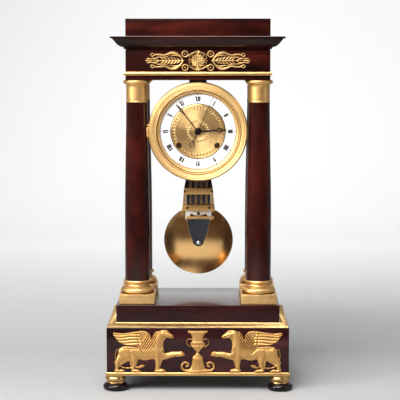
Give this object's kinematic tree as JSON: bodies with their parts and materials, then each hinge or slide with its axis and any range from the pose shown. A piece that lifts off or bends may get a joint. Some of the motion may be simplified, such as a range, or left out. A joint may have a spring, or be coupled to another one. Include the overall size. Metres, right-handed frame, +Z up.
{
  "type": "portico mantel clock",
  "caption": "French portico mantel clock: mahogany case on columns with gilt bronze mounts, a hinged glazed bezel, a drum movement and a swinging gridiron pendulum.",
  "frame": {"origin": "centre of the footprint, on the ground under the feet", "axes": "+X to the viewer's right when facing the dial, +Y from the dial to the back, +Z up"},
  "size_m": [0.3076, 0.2026, 0.6],
  "materials": {
    "mahogany": "french polished",
    "ebonised_wood": "french polished",
    "gilt_bronze": "satin fire gilding, some edges burnished",
    "brass": "lacquered",
    "blued_steel": "blued and polished",
    "grey_steel": "polished, darkened by age",
    "bell_metal": "turned",
    "enamel": "gloss white enamel",
    "clear_glass": "clear polished"
  },
  "bodies": {
    "case": {"foot_bun_front_left": "ebonised_wood", "foot_collar_front_left": "gilt_bronze", "foot_bun_front_right": "ebonised_wood", "foot_collar_front_right": "gilt_bronze", "foot_bun_rear_left": "ebonised_wood", "foot_collar_rear_left": "gilt_bronze", "foot_bun_rear_right": "ebonised_wood", "foot_collar_rear_right": "gilt_bronze", "base_box": "mahogany", "base_bottom_band": "gilt_bronze", "base_top_moulding": "gilt_bronze", "upper_plinth": "mahogany", "griffin_left": "gilt_bronze", "griffin_right": "gilt_bronze", "urn_mount": "gilt_bronze", "column_base_front_left": "gilt_bronze", "column_shaft_front_left": "mahogany", "column_capital_front_left": "gilt_bronze", "column_base_front_right": "gilt_bronze", "column_shaft_front_right": "mahogany", "column_capital_front_right": "gilt_bronze", "column_base_rear_left": "gilt_bronze", "column_shaft_rear_left": "mahogany", "column_capital_rear_left": "gilt_bronze", "column_base_rear_right": "gilt_bronze", "column_shaft_rear_right": "mahogany", "column_capital_rear_right": "gilt_bronze", "entablature_box": "mahogany", "architrave_band": "gilt_bronze", "cornice": "mahogany", "attic_block": "mahogany", "frieze_mount": "gilt_bronze", "chapter_ring": "enamel", "dial_centre": "gilt_bronze", "drum_case": "brass", "front_plate": "brass", "back_plate": "brass", "strike_barrel": "brass", "going_barrel": "brass", "bell": "bell_metal", "suspension_bracket": "brass"},
    "bezel_door": {"bezel": "gilt_bronze", "bezel_glass": "clear_glass"},
    "minute": {"minute_hand": "blued_steel"},
    "hour": {"hour_hand": "blued_steel"},
    "centre": {"centre_wheel": "brass"},
    "third": {"third_wheel": "brass"},
    "escape": {"escape_wheel": "brass", "seconds_hand": "blued_steel"},
    "anchor": {"anchor_and_crutch": "grey_steel"},
    "pendulum": {"suspension_spring": "grey_steel", "gridiron_frame": "brass", "gridiron_steel_rods": "grey_steel", "temperature_scale": "enamel", "pendulum_bob": "brass", "bob_bracket": "blued_steel"},
    "pointer": {"temperature_pointer": "grey_steel"},
    "hammer": {"hammer": "grey_steel"},
    "going_arbor": {"going_winding_arbor": "grey_steel"},
    "strike_arbor": {"strike_winding_arbor": "grey_steel"}
  },
  "joints": [
    {"name": "bezel_opens", "type": "hinge", "parent": "case", "child": "bezel_door", "pos_m": [-0.0814, -0.058, 0.419], "axis": [0, 0, -1], "range_deg": [0, 80]},
    {"name": "minute_hand_sets", "type": "hinge", "parent": "case", "child": "minute", "pos_m": [0, -0.055, 0.419], "axis": [0, 1, 0], "continuous": true},
    {"name": "hour_hand_follows", "type": "hinge", "parent": "case", "child": "hour", "pos_m": [0, -0.054, 0.419], "axis": [0, 1, 0], "continuous": true},
    {"name": "seconds_run", "type": "hinge", "parent": "case", "child": "escape", "pos_m": [0, -0.01, 0.419], "axis": [0, 1, 0], "continuous": true},
    {"name": "third_wheel_turns", "type": "hinge", "parent": "case", "child": "third", "pos_m": [0, -0.014, 0.392], "axis": [0, 1, 0], "continuous": true},
    {"name": "centre_wheel_turns", "type": "hinge", "parent": "case", "child": "centre", "pos_m": [0, -0.036, 0.419], "axis": [0, 1, 0], "continuous": true},
    {"name": "pendulum_swings", "type": "hinge", "parent": "case", "child": "pendulum", "pos_m": [0, 0.036, 0.49], "axis": [0, 1, 0], "range_deg": [-3.5, 3.5]},
    {"name": "anchor_rocks", "type": "hinge", "parent": "case", "child": "anchor", "pos_m": [0, 0.008, 0.449], "axis": [0, 1, 0], "range_deg": [-5.5, 5.5]},
    {"name": "pointer_turns", "type": "hinge", "parent": "pendulum", "child": "pointer", "pos_m": [0, 0.0301, 0.2845], "axis": [0, 1, 0], "range_deg": [-15, 15]},
    {"name": "hammer_lifts", "type": "hinge", "parent": "case", "child": "hammer", "pos_m": [0.05, 0.016, 0.388], "axis": [0, 1, 0], "range_deg": [0, 12], "stiffness_Nm_per_rad": 0.01, "springref_deg": -11.46},
    {"name": "going_arbor_winds", "type": "hinge", "parent": "case", "child": "going_arbor", "pos_m": [0.0308, -0.03, 0.396], "axis": [0, 1, 0], "continuous": true},
    {"name": "strike_arbor_winds", "type": "hinge", "parent": "case", "child": "strike_arbor", "pos_m": [-0.0308, -0.03, 0.396], "axis": [0, 1, 0], "continuous": true}
  ],
  "couplings": [
    {"joint": "hour_hand_follows", "follows": "minute_hand_sets", "ratio": 0.083333},
    {"joint": "third_wheel_turns", "follows": "seconds_run", "ratio": -0.13333},
    {"joint": "centre_wheel_turns", "follows": "seconds_run", "ratio": 0.016667},
    {"joint": "anchor_rocks", "follows": "pendulum_swings", "ratio": 1.554}
  ]
}
